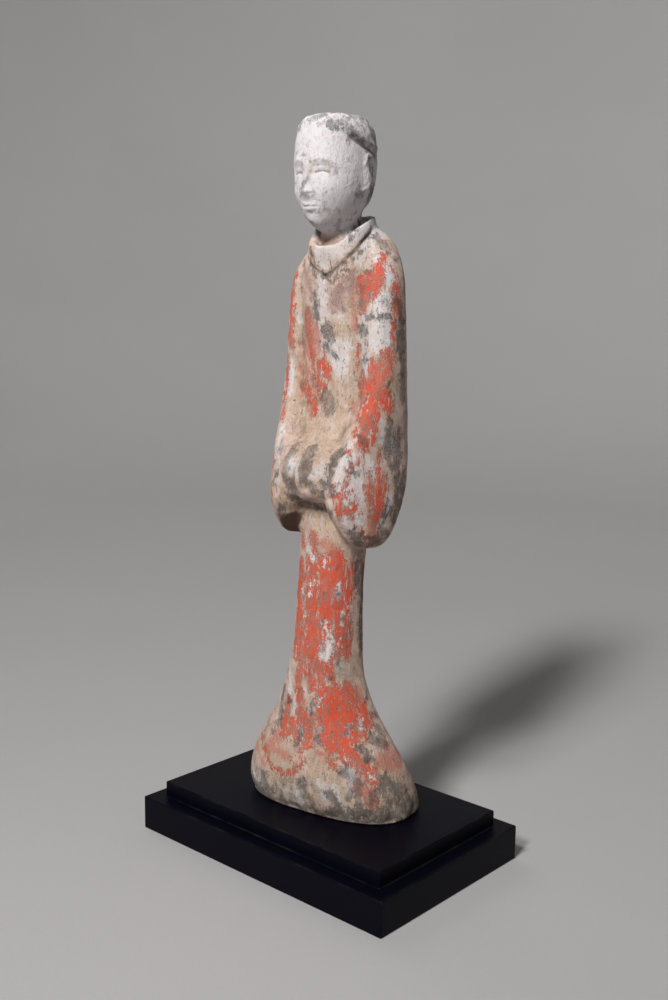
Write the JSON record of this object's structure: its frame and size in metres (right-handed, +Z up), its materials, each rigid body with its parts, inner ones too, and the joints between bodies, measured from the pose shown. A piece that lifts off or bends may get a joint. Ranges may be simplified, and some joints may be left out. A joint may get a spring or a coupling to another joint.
{
  "type": "tomb figure on a plinth",
  "caption": "Standing pottery woman in a long flared gown, arms in hanging sleeves joined before the waist, worn white slip and red pigment, loose on a stepped black wooden plinth.",
  "frame": {"origin": "centre of the plinth's underside, which is the surface the object stands on", "axes": "+Z up; the figure faces -Y, turned 4 degrees towards +X on its plinth; its own left is +X; the plinth's long sides run along X"},
  "size_m": [0.2, 0.13, 0.4418],
  "materials": {
    "pottery_figure": "unglazed earthenware with worn white slip, red pigment and grey stains, matt",
    "stepped_plinth": "black lacquered wood, semi-gloss"
  },
  "bodies": {
    "root": {"pottery_figure": "pottery_figure", "stepped_plinth": "stepped_plinth"}
  },
  "joints": []
}
